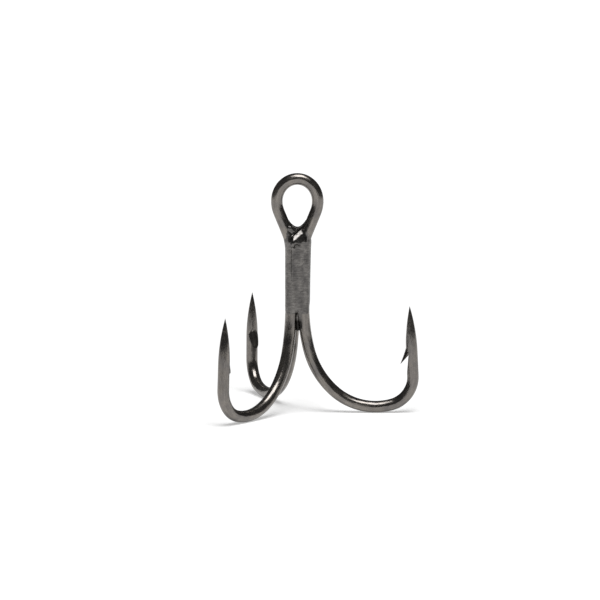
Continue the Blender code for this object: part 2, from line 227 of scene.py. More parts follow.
# Metal, as reflected colour
WIRE_DARK = (0.145, 0.136, 0.13)
WIRE_LIGHT = (0.212, 0.195, 0.176)
BRAZE_DARK = (0.108, 0.103, 0.1)
BRAZE_LIGHT = (0.16, 0.152, 0.144)
# painted shade: the braze's colour is darkened in patches over the throat's heights, and most in the
# crotch
THROAT = (FLOOR_Z + 31.6 * MM, FLOOR_Z + 32.6 * MM)   # the braze turns darker over these heights,
CROTCH_SHADE = (FLOOR_Z + 17.2 * MM, FLOOR_Z + 17.9 * MM)   # and darkest below these
THROAT_EDGE = 0.9 * MM

# Patterns in the metal, as features per metre: along and across the wire, or along x, y and z
WIRE_CLOUD = (520, 520, 520)
DRAWN_LINES = (330, 7500, 7500)
SCRATCHES = (700, 12000, 12000)
WIRE_WAVES = (300, 1500, 1500)
SPECKS = (5200, 5200, 5200)
BRAZE_CLOUD = (750, 750, 380)
FILE_MARKS = (900, 900, 4200)
GRIT = (7000, 7000, 5200)
# painted shade in the throat comes in patches of this size
THROAT_SHADE_PATCHES = (1100, 1100, 1100)
WIRE_BUMP = 0.004 * MM
BRAZE_BUMP = 0.007 * MM

# Floor and light
FLOOR_RADIUS = 4.0
FLOOR_COLOUR = (0.85, 0.85, 0.85, 1)
FLOOR_ROUGHNESS = 0.9
FLOOR_GLOW = (0.39, 1.03)          # from near the object to far from it,
FLOOR_GLOW_RANGE = (0.1, 0.9)      # between these distances
ROOM_GLOW = (0.1, 1.0)             # on the object, and behind it
WHITE = (1, 1, 1, 1)
SOFTBOX_SIZE = (0.54, 0.68)
SOFTBOX_PLACE = (0.08, -0.28, 0.85)
SOFTBOX_POWER = 8.0

# Camera
VIEW_AZIMUTH = math.radians(0.0)
VIEW_ELEVATION = math.radians(8.3)
VIEW_DISTANCE = 0.932
VIEW_TARGET = (0.503 * MM, 0.63 * MM, FLOOR_Z + 21.105 * MM)
VIEW_WIDTH = 111.84 * MM
SENSOR_WIDTH = 36.0
VIEW_RANGE = (0.01, 50.0)


# ---------------------------------------------------------------- wire paths

def arc_run(point, heading, radius, turn, step):
    """Sections along an arc in an (outward, down) plane: lists of points and headings."""
    count = max(3, math.ceil(radius * turn / step))
    points, headings = [], []
    out, down = point
    for i in range(1, count + 1):
        middle = heading + turn * (i - 0.5) / count
        chord = 2 * radius * math.sin(turn / count / 2)
        out += chord * math.sin(middle)
        down += chord * math.cos(middle)
        points.append((out, down))
        headings.append(heading + turn * i / count)
    return points, headings


def hook_outline(hook):
    """The centre line of a hook as rows of (outward, down, heading, distance from the tip)."""
    points, headings = [(0.0, 0.0)], [0.0]
    for radius, degrees in hook.arcs:
        more, turned = arc_run(points[-1], headings[-1], radius, math.radians(degrees), SECTION_STEP)
        points += more
        headings += turned
    gaps = [math.dist(a, b) for a, b in zip(points, points[1:])]
    lengths = [0.0]
    for gap in gaps:
        lengths.append(lengths[-1] + gap)
    total = lengths[-1] + hook.leg
    rows = [(o, d, h, total - s) for (o, d), h, s in zip(points, headings, lengths)]
    out, down, heading, _ = rows[-1]
    count = math.ceil(hook.leg / SECTION_STEP)
    distances = [hook.leg * (1 - i / count) ** LEG_STEP_POWER for i in range(1, count + 1)]
    distances += [BARB_ROOT[0] + STEP_LENGTH / 2, BARB_ROOT[0] - STEP_LENGTH / 2]
    for left in sorted(distances, reverse=True):
        run = hook.leg - left
        rows.append((out + run * math.sin(heading), down + run * math.cos(heading), heading, left))
    return rows


OUTLINES = {side: hook_outline(hook) for side, hook in HOOKS.items()}
BEND_TOPS = {side: FLOOR_Z + WIRE_RADIUS + max(row[1] for row in rows)
             for side, rows in OUTLINES.items()}
Row = namedtuple("Row", "point tangent radius inward reach hollow")
UNCUT = Vector((0, 1, 0))          # any direction will do for a row that no tool cut


def point_radius(from_tip):
    """The wire's radius, which falls to a fine tip."""
    if from_tip >= POINT_TAPER:
        return WIRE_RADIUS
    full = WIRE_RADIUS * (1 - (1 - from_tip / POINT_TAPER) ** 2)
    return max(full, TIP_RADIUS * min(1.0, from_tip / TIP_LENGTH) ** 0.5)


def notch_reach(from_tip, notch_end):
    """How far the wire stands on its inner side, where the barb was cut out of it."""
    if from_tip < BARB_ROOT[0] or from_tip > notch_end:
        return 2 * WIRE_RADIUS
    part = (from_tip - BARB_ROOT[0]) / (notch_end - BARB_ROOT[0])
    return BARB_ROOT[1] + (WIRE_RADIUS - BARB_ROOT[1]) * part


def hook_axes(side):
    angle = math.radians(HOOKS[side].azimuth)
    return Vector((math.cos(angle), math.sin(angle), 0)), Vector((0, 0, 1))


def plain_row(point, tangent):
    return Row(point, tangent, WIRE_RADIUS, UNCUT, 2 * WIRE_RADIUS, 0.0)


def hook_path(side):
    """Rows from the top of the bend to the tip, with the notch that the barb left behind it."""
    outward, up = hook_axes(side)
    _, _, notch_end, hollow = BARBS[side]
    start = Vector((*HOOKS[side].centre, BEND_TOPS[side]))
    rows = []
    for out, down, heading, from_tip in OUTLINES[side]:
        point = start + outward * out - up * down
        tangent = outward * math.sin(heading) - up * math.cos(heading)
        inward = outward * math.cos(heading) + up * math.sin(heading)
        reach = notch_reach(from_tip, notch_end)
        rows.append(Row(point, tangent, point_radius(from_tip), inward, reach, hollow))
    return rows


def straight_path(x, y, low, high):
    """Rows going straight up from one z to another, without the first."""
    count = max(2, math.ceil((high - low) / SECTION_STEP))
    return [plain_row(Vector((x, y, low + (high - low) * i / count)), Vector((0, 0, 1)))
            for i in range(1, count + 1)]


def right_half_of_eye():
    """Rows from the neck up the right leg and round to the top of the eye."""
    rows = []
    count = math.ceil(NECK_RADIUS * LEG_LEAN / SECTION_STEP)
    for i in range(1, count + 1):
        turn = LEG_LEAN * i / count
        x = PAIR_HALF_SPACING + NECK_RADIUS * (1 - math.cos(turn))
        z = NECK_Z + NECK_RADIUS * math.sin(turn)
        rows.append(plain_row(Vector((x, 0, z)), Vector((math.sin(turn), 0, math.cos(turn)))))
    start = rows[-1].point
    end = Vector((CHEEK_X, 0, CHEEK_Z))
    count = math.ceil((end - start).length / SECTION_STEP)
    lean = (end - start).normalized()
    for i in range(1, count + 1):
        rows.append(plain_row(start.lerp(end, i / count), lean))
    sweep = math.pi / 2 + CHEEK_TURN
    count = math.ceil(EYE_RISE * sweep / SECTION_STEP)
    for i in range(1, count + 1):
        turn = -CHEEK_TURN + sweep * i / count
        rise = EYE_DROP if turn < 0 else EYE_RISE
        point = Vector((EYE_HALF_WIDTH * math.cos(turn), 0, rise * math.sin(turn)))
        tangent = Vector((-EYE_HALF_WIDTH * math.sin(turn), 0, rise * math.cos(turn))).normalized()
        rows.append(plain_row(point, tangent))
    return rows


def backwards(rows):
    return [row._replace(tangent=-row.tangent) for row in reversed(rows)]


def mirrored(rows):
    """Uncut rows on the other side of the eye's middle."""
    flip = Vector((-1, 1, 1))
    return [row._replace(point=row.point * flip, tangent=row.tangent * flip) for row in rows]


# ---------------------------------------------------------------- meshes

def new_object(name, vertices, faces):
    mesh = bpy.data.meshes.new(name)
    mesh.from_pydata([tuple(v) for v in vertices], [], faces)
    mesh.validate()
    piece = bpy.data.objects.new(name, mesh)
    bpy.context.scene.collection.objects.link(piece)
    return piece


def tube_faces(rings, sides):
    faces = []
    for k in range(rings - 1):
        for i in range(sides):
            j = (i + 1) % sides
            a, b = k * sides, (k + 1) * sides
            faces.append((a + i, a + j, b + j, b + i))
    return faces


def close_ends(faces, rings, sides, low_apex, high_apex):
    """Fans from each end ring to its apex vertex."""
    top = (rings - 1) * sides
    for i in range(sides):
        j = (i + 1) % sides
        faces.append((low_apex, j, i))
        faces.append((high_apex, top + i, top + j))
    return faces


def wire_mesh(name, rows):
    """A round wire through its rows, with its straightened place and where it was cut as attributes."""
    normal = Vector((0, 1, 0))
    vertices, grain, cut = [], [], []
    run = 0.0
    last = rows[0].point
    for row in rows:
        normal = (normal - row.tangent * normal.dot(row.tangent)).normalized()
        side = row.tangent.cross(normal)
        run += (row.point - last).length
        last = row.point
        for i in range(WIRE_SIDES):
            angle = 2 * math.pi * i / WIRE_SIDES
            c, s = math.cos(angle), math.sin(angle)
            offset = (normal * c + side * s) * row.radius
            sideways = offset.dot(row.tangent.cross(row.inward))
            reach = row.reach + row.hollow * sideways ** 2
            removed = max(0.0, offset.dot(row.inward) - reach)
            offset -= row.inward * removed
            cut.append(float(removed > 0))
            vertices.append(row.point + offset)
            grain.append((run, c * row.radius, s * row.radius))
    count = len(rows)
    vertices += [rows[0].point, rows[-1].point]
    grain += [(0.0, 0.0, 0.0), (run, 0.0, 0.0)]
    cut += [0.0, 0.0]
    apex = count * WIRE_SIDES
    faces = close_ends(tube_faces(count, WIRE_SIDES), count, WIRE_SIDES, apex, apex + 1)
    piece = new_object(name, vertices, faces)
    note(piece, grain, cut)
    return piece


def note(piece, grain, cut):
    """Store where each vertex lies on the straightened wire, and whether it was cut."""
    layer = piece.data.attributes.new("grain", "FLOAT_VECTOR", "POINT")
    layer.data.foreach_set("vector", np.array(grain, dtype=np.float32).ravel())
    layer = piece.data.attributes.new("cut", "FLOAT", "POINT")
    layer.data.foreach_set("value", np.array(cut, dtype=np.float32))


def apply_modifiers(piece):
    graph = bpy.context.evaluated_depsgraph_get()
    mesh = bpy.data.meshes.new_from_object(piece.evaluated_get(graph))
    piece.modifiers.clear()
    piece.data = mesh


def barb_frame(side):
    """Point, and directions along the wire from the tip, towards the shank and sideways."""
    tip = hook_path(side)[-1]
    return tip.point, -tip.tangent, tip.inward, (-tip.tangent).cross(tip.inward)


def outside(piece):
    body = bmesh.new()
    body.from_mesh(piece.data)
    bmesh.ops.recalc_face_normals(body, faces=body.faces)
    body.to_mesh(piece.data)
    body.free()


def chip(name, side):
    """The raised chip: curved like the wire on its outside, and narrowing to its edge."""
    point, along, inward, sideways = barb_frame(side)
    base, (tip, height), _, _ = BARBS[side]
    slope = (height - BARB_ROOT[1]) / (tip - BARB_ROOT[0])
    vertices = []
    for k in range(CHIP_STEPS + 1):
        part = k / CHIP_STEPS
        s = base + (tip - base) * part
        crown = BARB_BASE_HEIGHT + (height - BARB_BASE_HEIGHT) * part ** CHIP_LIFT
        opening = min(1.0, BASE_OPENING + (1 - BASE_OPENING) * (s - base) / CHIP_OPENING)
        width = BARB_WIDTH * opening * math.sqrt(1 - part ** CHIP_NARROWING) + BARB_TIP_WIDTH * part
        under = max(height - slope * (tip - s), CHIP_UNDERSIDE)
        for i in range(CHIP_COLUMNS + 1):
            aside = width / 2 * (-1 + 2 * i / CHIP_COLUMNS)
            sag = CHIP_CROWN * (WIRE_RADIUS - math.sqrt(WIRE_RADIUS ** 2 - aside ** 2))
            vertices.append(point + along * s + inward * (crown - sag) + sideways * aside)
        edge = crown - CHIP_CROWN * (WIRE_RADIUS - math.sqrt(WIRE_RADIUS ** 2 - (width / 2) ** 2))
        low = min(under, edge) - CHIP_EDGE
        vertices.append(point + along * s + inward * low + sideways * width / 2)
        vertices.append(point + along * s + inward * low - sideways * width / 2)
    sides = CHIP_COLUMNS + 3
    faces = tube_faces(CHIP_STEPS + 1, sides)
    faces.append(tuple(range(sides)))
    faces.append(tuple(CHIP_STEPS * sides + i for i in reversed(range(sides))))
    piece = new_object(name, vertices, faces)
    outside(piece)
    return piece


def raise_barb(wire, side):
    """Join the chip to its wire."""
    blank = chip(side + "_chip", side)
    step = wire.modifiers.new(blank.name, "BOOLEAN")
    step.operation = "UNION"
    step.solver = "EXACT"
    step.object = blank
    apply_modifiers(wire)
    bpy.data.objects.remove(blank)
    mark_chip(wire, side)


def mark_chip(wire, side):
    """Note the chip's vertices, which stand outside the wire, as cut."""
    point, along, inward, sideways = barb_frame(side)
    base, (tip, _), _, _ = BARBS[side]
    grain = wire.data.attributes["grain"].data
    cut = wire.data.attributes["cut"].data
    for vertex in wire.data.vertices:
        place = vertex.co - point
        run, rise, aside = place.dot(along), place.dot(inward), place.dot(sideways)
        near = base - CHIP_MARGIN < run < tip + CHIP_MARGIN and abs(aside) < CHIP_HALF_WIDTH
        near = near and CHIP_RISE[0] < rise < CHIP_RISE[1]
        if near and math.hypot(rise, aside) > point_radius(run) + SURFACE_MARGIN:
            cut[vertex.index].value = 1.0
            grain[vertex.index].vector = (run, rise, aside)


def smooth(piece, degrees=35):
    piece.data.shade_smooth()
    piece.data.set_sharp_from_angle(angle=math.radians(degrees))


# ---------------------------------------------------------------- braze

def ramp(value, span):
    """Smooth step from 0 to 1 over a span."""
    part = np.clip((value - span[0]) / (span[1] - span[0]), 0, 1)
    return part * part * (3 - 2 * part)


def positive(value):
    return np.clip(value, 0, None)


def blend(a, b, reach):
    """Smooth union of two distances; reach is how far apart they still melt together."""
    h = positive(reach - np.abs(a - b)) / np.maximum(reach, 1e-9)
    return np.minimum(a, b) - h * h * reach / 4


def hook_shift(name, height):
    """How far a wire has left the shank's line at a height below the top of its bend."""
    radius = HOOKS[name].arcs[0][0]
    drop = positive(BEND_TOPS[name] - FLOOR_Z - height)
    return radius - np.sqrt(radius ** 2 - drop ** 2)


def leg_line(height):
    """Half spacing of the eye's legs, and the cosine of their lean, at heights."""
    rise = positive(height + FLOOR_Z - NECK_Z)
    bend_top = NECK_RADIUS * math.sin(LEG_LEAN)
    on_arc = np.minimum(rise, bend_top)
    arc = NECK_RADIUS - np.sqrt(NECK_RADIUS ** 2 - on_arc ** 2)
    beyond = positive(rise - bend_top)
    spacing = PAIR_HALF_SPACING + arc + beyond * math.tan(LEG_LEAN)
    return spacing, np.cos(np.arcsin(on_arc / NECK_RADIUS))


def ripple(x, y, z, size, seed):
    """Smooth wandering noise between about -1 and 1, from a few turned waves."""
    rng = np.random.default_rng(seed)
    total = np.zeros(np.broadcast(x, y, z).shape)
    for _ in range(RIPPLE_WAVES):
        direction = rng.normal(size=3)
        direction *= rng.uniform(*RIPPLE_LENGTHS) * 2 * math.pi / size / np.linalg.norm(direction)
        phase = rng.uniform(0, 2 * math.pi)
        total = total + np.sin(x * direction[0] + y * direction[1] + z * direction[2] + phase)
    return total / math.sqrt(RIPPLE_WAVES) / RIPPLE_PEAK


def wire_distance(name, x, y, height):
    """Distance from points to one wire's surface, shank and eye's leg alike."""
    centre_x, centre_y = HOOKS[name].centre
    angle = math.radians(HOOKS[name].azimuth)
    shift = hook_shift(name, height)
    lean = 1.0
    if name != "third":
        spacing, lean = leg_line(height)
        centre_x = math.copysign(1.0, centre_x) * spacing
    across = (x - centre_x - shift * math.cos(angle)) * lean
    radial = np.hypot(across, y - centre_y - shift * math.sin(angle)) - WIRE_RADIUS
    if name != "third":
        return radial
    beside, above = radial + THIRD_END_ROUND, height - THIRD_WIRE_TOP + THIRD_END_ROUND
    corner = np.hypot(positive(beside), positive(above))
    return corner + np.minimum(np.maximum(beside, above), 0) - THIRD_END_ROUND


def capsule(x, y, height, start, end, radius):
    """Distance to a rounded rod between two (x, y, height) points."""
    line = np.subtract(end, start)
    part = ((x - start[0]) * line[0] + (y - start[1]) * line[1] + (height - start[2]) * line[2])
    part = np.clip(part / line.dot(line), 0, 1)
    gap = (x - start[0] - line[0] * part) ** 2 + (y - start[1] - line[1] * part) ** 2
    return np.sqrt(gap + (height - start[2] - line[2] * part) ** 2) - radius


def shank_fillets(x, y, height, run_in):
    """The wires with their valleys filled, and extra braze down the right side."""
    right = wire_distance("right", x, y, height)
    left = wire_distance("left", x, y, height)
    third = wire_distance("third", x, y, height)
    valley = VALLEY_REACH * run_in
    front = valley * (1 - ramp(height, FRONT_FADE))
    body = blend(blend(right, left, np.maximum(front, LEAST_REACH)), third, valley)
    return blend(body, capsule(x, y, height, *SIDE_RUN), SIDE_RUN_BLEND)


def bead_front(x, y, height):
    """How far forward the bead reaches in the throat, as a y."""
    along = (x - RIDGE[0]) * math.cos(RIDGE_TURN) + (height - RIDGE[1]) * math.sin(RIDGE_TURN)
    over = (height - RIDGE[1]) * math.cos(RIDGE_TURN) - (x - RIDGE[0]) * math.sin(RIDGE_TURN)
    slope = RIDGE_FRONT + SLOPE_ALONG * along + SLOPE_OVER * over
    slope = slope + positive(over) ** 2 / (2 * RIDGE_RADIUS)
    slope = slope + SLOPE_EDGE * positive(over - RIDGE_WIDTH) ** 2
    foot = FACE_FOOT + FOOT_WANDER * ripple(x, y, height, *FOOT_RIPPLE)
    face = FACE_FRONT + FACE_ALONG * along + FACE_BELOW * positive(foot - height)
    side = FRONT_ROUNDING * positive(np.abs(x - FRONT_MIDDLE) - FRONT_HALF_WIDTH) ** 2
    front = -blend(-slope, -face, FRONT_BLEND) + side
    return blend(front, RIM_FRONT, RIM_BLEND)


def throat_bead(x, y, height, spacing):
    """Distance to the bead between the feet of the eye's legs."""
    dip = BEAD_DIP + BEAD_HORN * np.abs(x / HORN_SPACING) ** HORN_POWER
    bead = np.maximum(BEAD_STEEPNESS * (bead_front(x, y, height) - y), y - BEAD_BACK)
    bead = np.maximum(bead, height - dip)
    bead = np.maximum(bead, np.abs(x) - spacing - BEAD_OVERLAP)
    return np.maximum(bead, BEAD_START - height)


def leg_apron(x, y, height, spacing):
    """Thickness of the braze run over the feet of the eye's legs, thinner upwards."""
    uneven = height + APRON_WANDER * ripple(x, y, height, *APRON_RIPPLE)
    apron = 1 - ramp(np.abs(x) - spacing, APRON_SPREAD)
    apron = apron * ramp(-y, APRON_DEPTH) * ramp(uneven, APRON_START)
    left = (APRON_END[1] - height) / (APRON_END[1] - APRON_END[0])
    return APRON_THICKNESS * apron * np.clip(left, 0, 1)


def unevenness(x, y, height):
    """Lumps in the throat, and fine unevenness down the shank."""
    lumpy = ramp(height, LUMPS_START) * (1 - ramp(height, LUMPS_END))
    lumpy = lumpy * (1 - ramp(np.abs(x - LUMPS_MIDDLE), LUMPS_SIDE))
    fine = SHANK_UNEVENNESS + (THROAT_UNEVENNESS - SHANK_UNEVENNESS) * lumpy
    total = LUMP_HEIGHT * lumpy * ripple(x, y, height, *LUMP_RIPPLE)
    total = total + GRAIN_HEIGHT * lumpy * ripple(x, y, height, *GRAIN_RIPPLE)
    return total + fine * ripple(x, y, height, *FINE_RIPPLE)


def coat_thickness(x, y, height, run_in, above, outer):
    """The coat over the wires, with a fine furrow where it ends on the left wire's front.

    It thins out, and dips into the wires, at its ends and on the outside of the legs.
    """
    coat = COAT + FRONT_COAT * ramp(-y, FRONT_COAT_DEPTH) * (1 - above)
    coat = coat * run_in * (1 - outer) * (1 - ramp(height, COAT_END))
    furrow = np.exp(-((x - FURROW_X) / FURROW_WIDTH) ** 2) * ramp(-y, FURROW_DEPTH)
    coat = coat - (COAT + FRONT_COAT) * furrow * ramp(height, FURROW_FADE) * (1 - above)
    return coat - SINK * (1 - run_in) - SINK * np.maximum(outer, ramp(height, SINK_START))


def braze_field(x, y, height):
    """Signed distance, about, to the braze and the wires that it wets."""
    spacing, _ = leg_line(height)
    run_in = ramp(height, (BRAZE_BOTTOM, BRAZE_BOTTOM + RUN_IN))
    above = ramp(height, LEGS_START)
    outer = above * ramp(np.abs(x) - spacing, LEGS_OUTSIDE)
    body = shank_fillets(x, y, height, run_in)
    body = blend(body, throat_bead(x, y, height, spacing), BEAD_BLEND)
    body = blend(body, capsule(x, y, height, *LEFT_LUMP), LUMP_BLEND)
    body = body - leg_apron(x, y, height, spacing) + unevenness(x, y, height)
    body = body - coat_thickness(x, y, height, run_in, above, outer)
    body = np.maximum(body, np.abs(x) - spacing - LEGS_LIMIT - SHANK_LIMIT * (1 - above))
    body = np.maximum(np.maximum(body, BRAZE_BOTTOM - height), height - BRAZE_TOP)
    body = blend(body, capsule(x, y, height, *TONGUE), TONGUE_BLEND)
    return np.minimum(body, capsule(x, y, height, *CROTCH))


def net_surface(field, low, step):
    """Faces round every grid cell edge where the field changes sign, as vertices and quads."""
    inside = field < 0
    corners = [inside[i:inside.shape[0] - 1 + i, j:inside.shape[1] - 1 + j, k:inside.shape[2] - 1 + k]
               for i in (0, 1) for j in (0, 1) for k in (0, 1)]
    count = sum(corner.astype(int) for corner in corners)
    active = (count > 0) & (count < 8)
    index = -np.ones(active.shape, dtype=int)
    cells = np.argwhere(active)
    index[active] = np.arange(len(cells))
    total = np.zeros((len(cells), 3))
    crossings = np.zeros(len(cells))
    for axis in range(3):
        others = [a for a in range(3) if a != axis]
        for u in (0, 1):
            for v in (0, 1):
                first = np.zeros(3, dtype=int)
                first[others[0]], first[others[1]] = u, v
                second = first.copy()
                second[axis] = 1
                a = field[tuple((cells + first).T)]
                b = field[tuple((cells + second).T)]
                cross = (a < 0) != (b < 0)
                place = np.where(cross, a / np.where(cross, a - b, 1), 0)
                where = np.repeat(first[None].astype(float), len(cells), axis=0)
                where[:, axis] = place
                total += where * cross[:, None]
                crossings += cross
    vertices = low + (cells + total / crossings[:, None]) * step
    quads = []
    for axis in range(3):
        u, v = [a for a in range(3) if a != axis]
        a = np.take(inside, range(inside.shape[axis] - 1), axis=axis)
        b = np.take(inside, range(1, inside.shape[axis]), axis=axis)
        edges = np.argwhere(a != b)
        for other in (u, v):
            edges = edges[(edges[:, other] > 0) & (edges[:, other] < inside.shape[other] - 1)]
        starts_inside = inside[tuple(edges.T)]
        around = []
        for du, dv in ((-1, -1), (0, -1), (0, 0), (-1, 0)):
            cell = edges.copy()
            cell[:, u] += du
            cell[:, v] += dv
            around.append(index[tuple(cell.T)])
        quad = np.stack(around, axis=1)
        flip = starts_inside if axis == 1 else ~starts_inside
        quad[flip] = quad[flip][:, ::-1]
        quads.append(quad)
    return vertices, np.concatenate(quads)


def settle(vertices):
    """Move vertices onto the braze's surface along the field's slope."""
    tiny = 0.01 * MM
    for _ in range(SETTLE_ROUNDS):
        x, y, height = vertices.T
        here = braze_field(x, y, height)
        slope = np.stack([
            braze_field(x + tiny, y, height) - braze_field(x - tiny, y, height),
            braze_field(x, y + tiny, height) - braze_field(x, y - tiny, height),
            braze_field(x, y, height + tiny) - braze_field(x, y, height - tiny)], axis=1) / (2 * tiny)
        steep = np.maximum((slope ** 2).sum(axis=1), LEAST_SLOPE)
        move = -slope * (here / steep)[:, None]
        vertices = vertices + np.clip(move, -GRID_STEP / 3, GRID_STEP / 3)
    return vertices


def braze_metal():
    """The frozen braze: fillets in the shank's valleys and the rough bead in the eye's throat."""
    low, high = np.array(GRID_LOW), np.array(GRID_HIGH)
    counts = np.ceil((high - low) / GRID_STEP).astype(int) + 1
    axes = [low[a] + np.arange(counts[a]) * GRID_STEP for a in range(3)]
    x, y, height = np.meshgrid(*axes, indexing="ij", sparse=True)
    vertices, quads = net_surface(braze_field(x, y, height), low, GRID_STEP)
    vertices = settle(vertices)
    vertices[:, 2] += FLOOR_Z
    piece = new_object("braze_metal", vertices.tolist(), quads.tolist())
    outside(piece)
    smooth(piece, 60)
    return piece


# ---------------------------------------------------------------- materials

class Weave:
    """Short forms for the nodes that both metals are made of."""

    def __init__(self, name):
        self.material = bpy.data.materials.new(name)
        self.material.use_nodes = True
        self.nodes = self.material.node_tree.nodes
        self.links = self.material.node_tree.links
        self.shader = self.nodes["Principled BSDF"]
        self.shader.inputs["Metallic"].default_value = 1.0

    def place(self, attribute=None, output="Vector"):
        """Object coordinates, or a point attribute of the mesh."""
        if attribute:
            node = self.nodes.new("ShaderNodeAttribute")
            node.attribute_name = attribute
            return node.outputs[output]
        return self.nodes.new("ShaderNodeTexCoord").outputs["Object"]

    def stretched(self, vector, per_metre):
        node = self.nodes.new("ShaderNodeVectorMath")
        node.operation = "MULTIPLY"
        node.inputs[1].default_value = per_metre
        self.links.new(vector, node.inputs[0])
        return node.outputs["Vector"]

    def noise(self, vector, detail, roughness=0.55):
        node = self.nodes.new("ShaderNodeTexNoise")
        node.inputs["Scale"].default_value = 1.0
        node.inputs["Detail"].default_value = detail
        node.inputs["Roughness"].default_value = roughness
        self.links.new(vector, node.inputs["Vector"])
        return node.outputs["Fac"]

    def remap(self, value, span, result):
        """Take a value from one span to another, as a straight line held at its ends."""
        node = self.nodes.new("ShaderNodeMapRange")
        node.inputs["From Min"].default_value = span[0]
        node.inputs["From Max"].default_value = span[1]
        node.inputs["To Min"].default_value = result[0]
        node.inputs["To Max"].default_value = result[1]
        self.links.new(value, node.inputs["Value"])
        return node.outputs["Result"]

    def joined(self, operation, a, b):
        node = self.nodes.new("ShaderNodeMath")
        node.operation = operation
        self.links.new(a, node.inputs[0])
        self.links.new(b, node.inputs[1])
        return node.outputs["Value"]

    def times(self, a, b):
        return self.joined("MULTIPLY", a, b)

    def plus(self, a, b):
        return self.joined("ADD", a, b)

    def mixed(self, factor, first, second):
        """A blend of two set colours, at the node's colour sockets A and B."""
        node = self.nodes.new("ShaderNodeMix")
        node.data_type = "RGBA"
        self.links.new(factor, node.inputs["Factor"])
        node.inputs[6].default_value = (*first, 1)
        node.inputs[7].default_value = (*second, 1)
        return node.outputs[2]

    def scaled(self, colour, value):
        """The colour times a grey value."""
        node = self.nodes.new("ShaderNodeVectorMath")
        node.operation = "SCALE"
        self.links.new(colour, node.inputs[0])
        self.links.new(value, node.inputs["Scale"])
        return node.outputs["Vector"]

    def height_of(self, vector):
        node = self.nodes.new("ShaderNodeSeparateXYZ")
        self.links.new(vector, node.inputs["Vector"])
        return node.outputs["Z"]

    def finish(self, colour, roughness, height, depth):
        bump = self.nodes.new("ShaderNodeBump")
        bump.inputs["Strength"].default_value = 1.0
        bump.inputs["Distance"].default_value = depth
        self.links.new(height, bump.inputs["Height"])
        self.links.new(bump.outputs["Normal"], self.shader.inputs["Normal"])
        self.links.new(colour, self.shader.inputs["Base Color"])
        self.links.new(roughness, self.shader.inputs["Roughness"])
        return self.material


def plated_wire_material():
    """Black nickel on drawn wire: lines along the wire, cloudy tone and small dull specks."""
    weave = Weave("black_nickel_wire")
    place = weave.place()
    grain = weave.place("grain")
    cut = weave.place("cut", "Fac")
    cloud = weave.noise(weave.stretched(place, WIRE_CLOUD), 5)
    drawn = weave.noise(weave.stretched(grain, DRAWN_LINES), 3)
    scratch = weave.noise(weave.stretched(grain, SCRATCHES), 2)
    speck = weave.noise(weave.stretched(place, SPECKS), 2, 0.7)
    waves = weave.noise(weave.stretched(grain, WIRE_WAVES), 2)
    # colour: darker where a tool cut the wire, partly duller cut metal and partly painted shade in the
    # notch and under the chip
    tone = weave.mixed(weave.remap(cloud, (0.35, 0.65), (0, 1)), WIRE_DARK, WIRE_LIGHT)
    lines = weave.remap(drawn, (0.38, 0.62), (0.86, 1.14))
    lines = weave.times(lines, weave.remap(scratch, (0.62, 0.74), (1.0, 0.72)))
    lines = weave.times(lines, weave.remap(cut, (0, 1), (1.0, 0.5)))
    lines = weave.times(lines, weave.remap(speck, (0.3, 0.7), (0.88, 1.12)))
    # roughness, duller there too
    dull = weave.remap(cloud, (0.35, 0.7), (0.17, 0.26))
    dull = weave.times(dull, weave.remap(speck, (0.3, 0.75), (0.85, 1.4)))
    dull = weave.plus(dull, weave.remap(cut, (0, 1), (0, 0.08)))
    # relief: long shallow waves under the lines and specks
    height = weave.plus(weave.remap(drawn, (0, 1), (0, 0.5)), weave.remap(speck, (0, 1), (0, 0.2)))
    height = weave.plus(height, weave.remap(waves, (0, 1), (0, 20)))
    return weave.finish(weave.scaled(tone, lines), dull, height, WIRE_BUMP)


def plated_braze_material():
    """Black nickel over braze that was filed and tumbled: duller, with fine marks across the shank."""
    weave = Weave("black_nickel_braze")
    place = weave.place()
    cloud = weave.noise(weave.stretched(place, BRAZE_CLOUD), 5)
    filed = weave.noise(weave.stretched(place, FILE_MARKS), 4, 0.7)
    grit = weave.noise(weave.stretched(place, GRIT), 3, 0.7)
    shade_noise = weave.noise(weave.stretched(place, THROAT_SHADE_PATCHES), 4)
    # the throat, with a ragged edge
    ragged = weave.remap(cloud, (0.3, 0.7), (-THROAT_EDGE, THROAT_EDGE))
    throat = weave.remap(weave.plus(weave.height_of(place), ragged), THROAT, (0, 1))
    # colour, with painted shade: in patches in the throat, and darkest in the crotch
    tone = weave.mixed(weave.remap(cloud, (0.36, 0.62), (0, 1)), BRAZE_DARK, BRAZE_LIGHT)
    marks = weave.remap(filed, (0.38, 0.62), (0.68, 1.24))
    marks = weave.times(marks, weave.remap(grit, (0.3, 0.7), (0.88, 1.12)))
    # painted shade in patches over the throat
    throat_shade = weave.times(throat, weave.remap(shade_noise, (0.4, 0.6), (0, 1)))
    marks = weave.times(marks, weave.remap(throat_shade, (0, 1), (1.0, 0.75)))
    marks = weave.times(marks, weave.remap(weave.height_of(place), CROTCH_SHADE, (0.15, 1.0)))
    # roughness and relief, both less in the throat
    dull = weave.remap(cloud, (0.35, 0.7), (0.33, 0.24))
    dull = weave.times(dull, weave.remap(grit, (0.3, 0.75), (0.85, 1.35)))
    dull = weave.times(dull, weave.remap(throat, (0, 1), (1.0, 0.65)))
    height = weave.plus(weave.remap(filed, (0, 1), (0, 1.0)), weave.remap(grit, (0, 1), (0, 0.7)))
    height = weave.times(height, weave.remap(throat, (0, 1), (1.0, 0.35)))
    return weave.finish(weave.scaled(tone, marks), dull, height, BRAZE_BUMP)


# ---------------------------------------------------------------- pieces

def double_hook_wire():
    right = backwards(hook_path("right"))
    shank = straight_path(PAIR_HALF_SPACING, 0.0, BEND_TOPS["right"], NECK_Z)
    eye = right_half_of_eye()
    half = right + shank + eye
    other = backwards(mirrored(shank + eye))[1:]
    rows = half + other + hook_path("left")
    wire = wire_mesh("double_hook_wire", rows)
    outside(wire)
    for side in ("right", "left"):
        raise_barb(wire, side)
    smooth(wire)
    return wire


